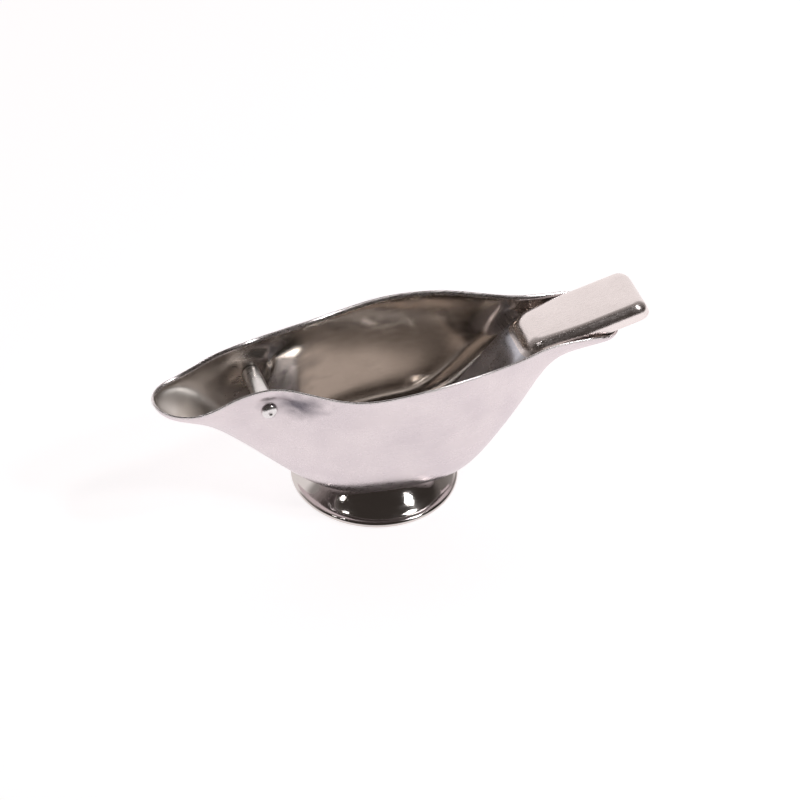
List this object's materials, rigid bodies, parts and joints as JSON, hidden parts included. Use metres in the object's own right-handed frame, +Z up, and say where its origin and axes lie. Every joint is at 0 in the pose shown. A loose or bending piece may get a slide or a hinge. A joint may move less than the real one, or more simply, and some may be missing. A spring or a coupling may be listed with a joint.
{
  "type": "gravy boat",
  "caption": "Footed stainless steel gravy boat with a pouring spout, a riveted spacer bar across the spout neck and a welded channel handle.",
  "frame": {"origin": "on the table, at the middle of the whole object's footprint", "axes": "+X towards the handle, away from the spout; +Z up; +Y across"},
  "size_m": [0.2136, 0.0708, 0.0736],
  "materials": {
    "bowl_steel": "stainless sheet, soft satin polish outside with faint scuffs, mirror polish inside",
    "foot_steel": "spun stainless, mirror polished",
    "handle_steel": "pressed stainless, fine satin polish",
    "sleeve_steel": "drawn stainless tube, bright",
    "rivet_steel": "stainless rivet with domed, dimpled heads"
  },
  "bodies": {
    "boat": {"bowl": "bowl_steel", "foot": "foot_steel", "handle": "handle_steel", "rivet": "rivet_steel"},
    "sleeve": {"crossbar_sleeve": "sleeve_steel"}
  },
  "joints": [
    {"name": "sleeve_spin", "type": "hinge", "parent": "boat", "child": "sleeve", "pos_m": [-0.06105, 0, 0.0586], "axis": [0, 1, 0], "continuous": true}
  ]
}
